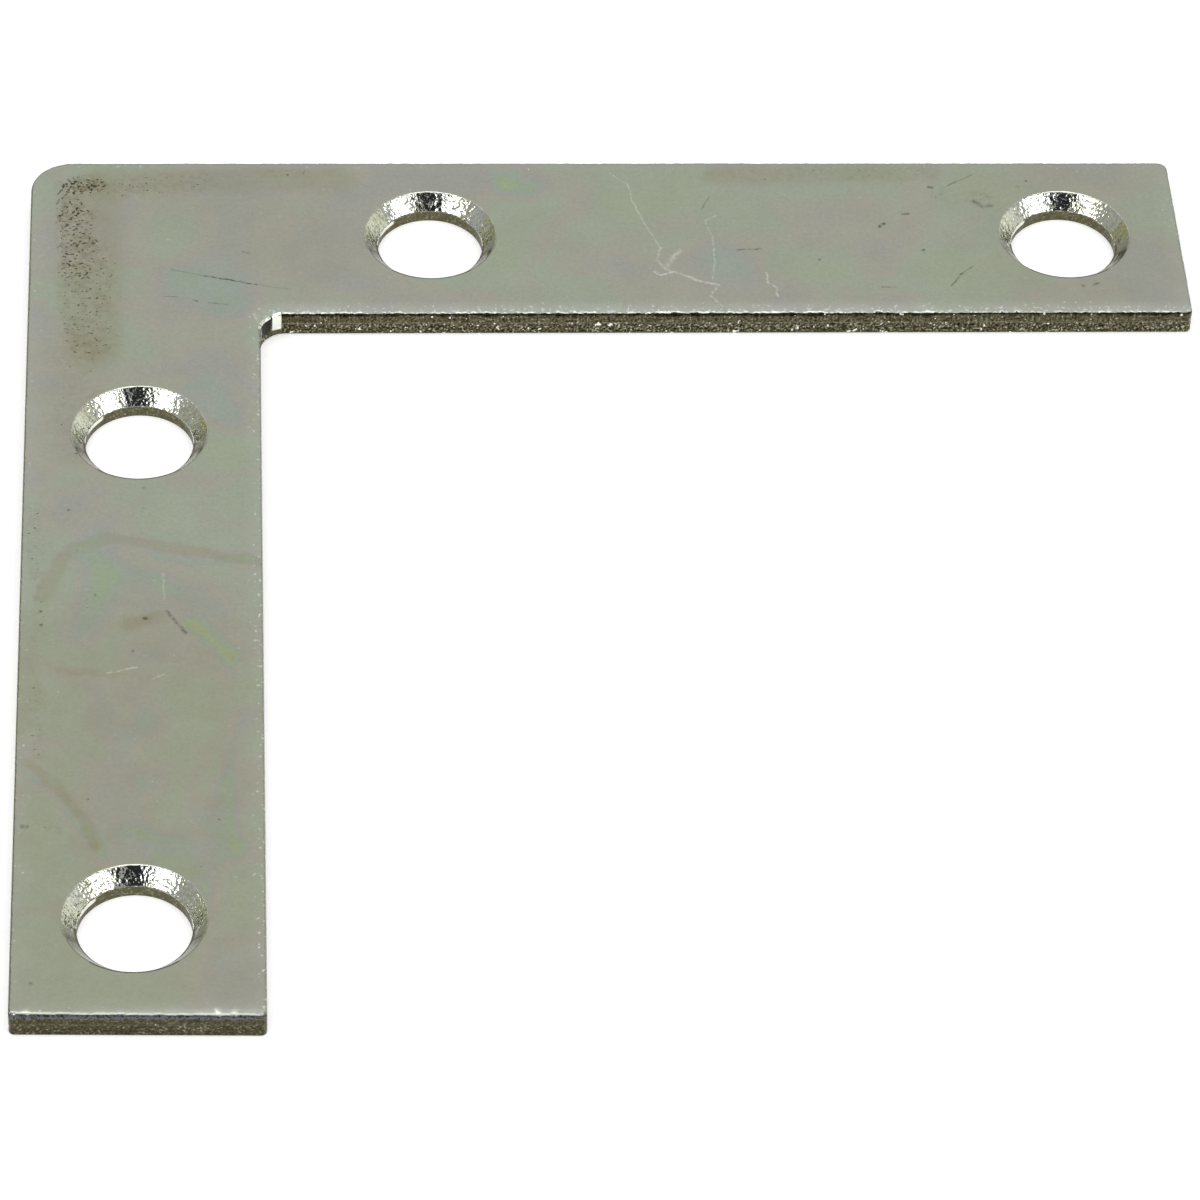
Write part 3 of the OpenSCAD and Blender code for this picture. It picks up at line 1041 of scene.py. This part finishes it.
pale_scratches_and_glints = [
    ([(32.1, -0.9), (33.1, -1.9), (33.3, -3.4), (33.9, -5.2), (34.6, -7.1)], 0.08, 0.45),
    ([(34.7, -7.2), (34.4, -8.2), (34.9, -9.0), (35.3, -9.2)], 0.10, 0.5),
    ([(35.7, -7.5), (35.2, -8.2), (34.9, -8.8)], 0.28, 0.5),
    ([(34.2, -9.2), (34.6, -9.5), (35.3, -9.2), (36.5, -9.9), (37.7, -10.3)], 0.13, 0.7),
    ([(37.9, -4.5), (37.2, -5.0), (37.6, -6.3), (37.6, -8.2), (37.4, -9.8)], 0.08, 0.45),
    ([(37.7, -10.3), (37.2, -11.2), (37.7, -11.9)], 0.11, 0.5),
    ([(40.4, -9.3), (40.4, -10.1), (40.8, -10.5), (40.9, -11.3)], 0.11, 0.65),
    ([(4.6, -40.1), (6.1, -39.7)], 0.09, 0.5),
    ([(6.9, -40.5), (7.5, -40.2)], 0.08, 0.4),
    ([(7.4, -32.8), (7.5, -34.8)], 0.12, 0.25),
    ([(12.2, -12.6), (12.5, -13.3)], 0.12, 0.6),
    # Painted glints on the four chips at the y arm's tip
    ([(0.1, -63.4), (0.35, -63.4)], 0.22, 1.0),
    ([(0.75, -63.4), (0.95, -63.4)], 0.22, 1.0),
    ([(10.1, -63.2), (10.25, -63.5)], 0.14, 0.9),
    ([(10.95, -63.6), (11.1, -63.6)], 0.14, 0.8),
]


def scratches(tree, place, colour):
    """The colour with pale and dark scratches in it, and painted glints on the chips."""
    bent = wandering(tree, place, 0.45, 0.22)
    broken = add(tree, "TexNoise", {"Vector": place, "Scale": 1 / SCRATCH_BREAK, "Detail": 1.0})
    broken = {"Value": broken, "From Min": 0.35, "From Max": 0.6, "To Min": 0.25, "To Max": 1.0}
    broken = add(tree, "MapRange", broken)
    for drawn, shade in ((pale_scratches_and_glints, "#E2E4DC"), (dark_scratches, "#4A483A")):
        scratch = marks(tree, bent, drawn)
        scratch = add(tree, "Math", {0: scratch, 1: broken}, operation="MULTIPLY", use_clamp=True)
        colour = add(tree, "Mix", {"Factor": scratch, "A": colour, "B": shade}, data_type="RGBA")
    return colour


print(len(dark_scratches) + len(pale_scratches_and_glints), "scratches and nicks")

# %% [markdown]
# The front face now takes all its layers in the order in which they came on the real
# brace: the film, the skin that shows through it, the cast, the wear and the marks, with
# the painted sheen, highlights and glints among them. Last comes the painted shade along the
# rims and on the near side of the cones. Its roughness is that of semi-bright zinc, about a
# quarter, and changes a little with it.

# %% Zinc-plated front face
ROUGHNESS_PATCH = 0.9
tree = new_metal("zinc_plated_front_face")
place = ruler(tree)
colour = film_colour(tree, place, tide_marks)
for layer in (rolled_skin, rim_wear_and_sheen, brown_cast, pale_specks_and_glints):
    colour = layer(tree, place, colour)
colour, height = dark_pits(tree, place, colour)
colour = scratches(tree, place, colour)
# Painted shade along the rims and on the near side of the cones
painted_shade = add(tree, "Attribute", attribute_name="rim_painted_shade").outputs["Fac"]
colour = add(tree, "Mix", {"Factor": painted_shade, "A": colour, "B": "#6C6C5A"}, data_type="RGBA")
roughness = add(tree, "TexNoise", {"Vector": place, "Scale": 1 / ROUGHNESS_PATCH, "Detail": 2.0})
roughness = add(tree, "Math", {0: roughness, 1: 0.12, 2: 0.22}, operation="MULTIPLY_ADD")
end_metal(tree, colour, roughness, height)
print("front face of", len(tree.nodes), "nodes")

# %% [markdown]
# The back face lay on the joint or in the packet and cannot be seen in the photograph. It
# is the same strip in the same bath, so it gets the film and the skin, with no tide marks
# and no scratches that would be made up.

# %% Zinc-plated back face
tree = new_metal("zinc_plated_back_face")
place = ruler(tree)
colour = film_colour(tree, place, [])
end_metal(tree, rolled_skin(tree, place, colour), 0.28)
print("back face of", len(tree.nodes), "nodes")

# %% [markdown]
# Torn steel takes zinc badly, and the passivate stains it olive brown. A grain of a seventh
# of a millimetre runs all over it, drawn out upright in the upper zone, where the punch
# rubbed it. A paler band follows the border of the two zones. The end of the y arm was cut
# cleaner, so its grain is calmer.

# %% Grain of the sheared edge
TORN_GRAIN = 0.14
EDGE_PATCH = 0.9
BAND_HEIGHT = 0.78
tree = new_metal("zinc_plated_sheared_edge")
place = ruler(tree)
apart = add(tree, "SeparateXYZ", {0: place}).outputs
upper = {"Value": apart["Z"], "From Min": 0.65, "From Max": 0.95, "To Max": 0.35}
upper = add(tree, "MapRange", upper, **SMOOTH)
torn = add(tree, "TexNoise", {"Vector": place, "Scale": 1 / TORN_GRAIN, "Detail": 2.0, "Roughness": 0.6})
stretched = add(tree, "VectorMath", {0: place, 1: (1.0, 1.0, 0.12)}, operation="MULTIPLY")
upright = {"Vector": stretched, "Scale": 1 / TORN_GRAIN, "Detail": 2.0, "Roughness": 0.6}
upright = add(tree, "TexNoise", upright)
texture = add(tree, "Mix", {"Factor": upper, "A": torn, "B": upright}, data_type="FLOAT")
flat = add(tree, "VectorMath", {0: place, 1: (1.0, 1.0, 4.0)}, operation="MULTIPLY")
slow = add(tree, "TexNoise", {"Vector": flat, "Scale": 1 / EDGE_PATCH, "Detail": 3.0})
shade = add(tree, "Math", {0: slow, 1: 0.3, 2: texture}, operation="MULTIPLY_ADD")
colour = add(tree, "ValToRGB", {"Fac": shade})
set_stops(colour, [(0.47, "#15140B"), (0.60, "#413E2C"), (0.73, "#6B684F"), (0.88, "#C8C7B6")])
calm = {"Value": apart["Y"], "From Min": -62.5, "From Max": -63.2, "To Max": 0.55}
calm = add(tree, "MapRange", calm, **SMOOTH)
from_band = add(tree, "Math", {0: apart["Z"], 1: BAND_HEIGHT}, operation="SUBTRACT")
from_band = add(tree, "Math", {0: from_band}, operation="ABSOLUTE")
band = add(tree, "MapRange", {"Value": from_band, "From Max": 0.07, "To Min": 0.35, "To Max": 0.0})
for share, coat in ((band, "#8C8A76"), (calm, "#45422D")):
    colour = add(tree, "Mix", {"Factor": share, "A": colour, "B": coat}, data_type="RGBA")

# %% [markdown]
# Four things stand out on the edge. The land of each hole was punched and not sheared, so
# it is more even. Right under the rim, and along the lower rounding, runs a dark line of
# painted shade. Painted glints stand for bright facets in the torn zone, one here and one
# there. And where the punch polished the upper zone, in the inside corner and on one side
# of each hole, a bright or a dark reflection of the room is painted into the metal's colour.

# %% Sheared edge
# Size of the painted glints, in millimetres
PAINTED_GLINT = 0.26
EDGE_RELIEF = 0.035
# The punch's polish, whose sign picks a painted bright or a dark reflection
rubbed = add(tree, "Attribute", attribute_name="punch_polish").outputs["Fac"]
punched = add(tree, "MapRange", {"Value": rubbed, "From Max": 0.2, "To Max": 0.65})
painted_shade = add(tree, "Attribute", attribute_name="rim_painted_shade").outputs["Fac"]
# Painted shade: a beaded dark line, bluish at the y arm's tip
beaded = {"Value": torn, "From Min": 0.43, "From Max": 0.48, "To Min": 0.1, "To Max": 1.0}
line = add(tree, "Math", {0: painted_shade, 1: add(tree, "MapRange", beaded)}, operation="MULTIPLY")
at_tip = {"Value": apart["Y"], "From Min": 0.3 - span, "From Max": 0.1 - span}
at_tip = add(tree, "MapRange", at_tip)
shade_line_colour = add(tree, "Mix", {"Factor": at_tip, "A": "#15140C", "B": "#64676F"}, data_type="RGBA")
# Painted glints, fewer in the upper zone, at the tip and on the land
painted_glint = add(tree, "TexNoise", {"Vector": place, "Scale": 1 / PAINTED_GLINT, "Detail": 1.0, "Roughness": 0.4})
for zone, loss in ((upper, -0.15), (calm, -0.12), (punched, -0.3)):
    painted_glint = add(tree, "Math", {0: zone, 1: loss, 2: painted_glint}, operation="MULTIPLY_ADD")
painted_glint = add(tree, "MapRange", {"Value": painted_glint, "From Min": 0.695, "From Max": 0.74}, **SMOOTH)
rubbed_zone = add(tree, "MapRange", {"Value": apart["Z"], "From Min": 0.35, "From Max": 0.50})
rubbed = add(tree, "Math", {0: rubbed, 1: rubbed_zone}, operation="MULTIPLY")
on_rim = {"Value": apart["Z"], "From Min": thickness - 0.17, "From Max": thickness - 0.13}
on_rim = add(tree, "MapRange", on_rim)
either = add(tree, "Math", {0: rubbed}, operation="ABSOLUTE")
rubbed = add(tree, "Mix", {"Factor": on_rim, "A": rubbed, "B": either}, data_type="FLOAT")
# Painted bright and dark reflections where the punch polished
painted_bright_reflection = add(tree, "MapRange", {"Value": rubbed, "From Min": 0.3, "From Max": 0.7})
painted_dark_reflection = add(tree, "MapRange", {"Value": rubbed, "From Min": -0.3, "From Max": -0.7})
# Coats: punched land, the painted shade line, painted glints, painted bright and dark reflections
for share, coat in (
    (punched, "#67634A"),
    (line, shade_line_colour),
    (painted_glint, "#F2F2E8"),
    (painted_bright_reflection, "#F0F2E6"),
    (painted_dark_reflection, "#2A291F"),
):
    colour = add(tree, "Mix", {"Factor": share, "A": colour, "B": coat}, data_type="RGBA")
roughness = add(tree, "MapRange", {"Value": painted_bright_reflection, "To Min": 0.42, "To Max": 0.22})
height = add(tree, "Math", {0: texture, 1: EDGE_RELIEF}, operation="MULTIPLY")
end_metal(tree, colour, roughness, height)
print("sheared edge of", len(tree.nodes), "nodes")

# %% [markdown]
# The cutter leaves bright steel in the countersinks, and zinc on bright steel stays
# bright: it is the shiniest place on the brace. The larger facets are in the mesh. Finer
# ones, a fifth of a millimetre across and tilted by a few degrees, are a bump. Patches have
# a faint straw cast, where the passivate gathered, and fine speckles are lighter or darker.

# %% Countersink
FINE_FACET = 0.20
FINE_FACET_HEIGHT = 0.042
CAST_PATCH = 1.4
SPECKLE = 0.14
tree = new_metal("zinc_plated_countersink")
place = ruler(tree)
patches = add(tree, "TexNoise", {"Vector": place, "Scale": 1 / CAST_PATCH, "Detail": 2.0})
patches = add(tree, "MapRange", {"Value": patches, "From Min": 0.35, "From Max": 0.65})
colour = add(tree, "Mix", {"Factor": patches, "A": "#C4C6B2", "B": "#CACEC6"}, data_type="RGBA")
speckle = add(tree, "TexNoise", {"Vector": place, "Scale": 1 / SPECKLE, "Detail": 1.0})
speckle = {"Value": speckle, "From Min": 0.35, "From Max": 0.65, "To Min": 0.84, "To Max": 1.16}
speckle = add(tree, "MapRange", speckle)
colour = add(tree, "VectorMath", {0: colour, "Scale": speckle}, operation="SCALE")
# Painted shade on the near side and at the foot of the cone: darker, less metallic and rougher
painted_shade = add(tree, "Attribute", attribute_name="rim_painted_shade").outputs["Fac"]
colour = add(tree, "Mix", {"Factor": painted_shade, "A": colour, "B": "#57543F"}, data_type="RGBA")
facets = add(tree, "TexNoise", {"Vector": place, "Scale": 1 / FINE_FACET, "Detail": 1.0})
height = add(tree, "Math", {0: facets, 1: FINE_FACET_HEIGHT}, operation="MULTIPLY")
unshaded = add(tree, "Math", {0: 1.0, 1: painted_shade}, operation="SUBTRACT")
roughness = add(tree, "MapRange", {"Value": painted_shade, "To Min": 0.08, "To Max": 0.6})
end_metal(tree, colour, roughness, height, unshaded)
print("countersink of", len(tree.nodes), "nodes")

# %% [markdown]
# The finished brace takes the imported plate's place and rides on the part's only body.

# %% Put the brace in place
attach(brace, "root")
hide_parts("corner_plate")
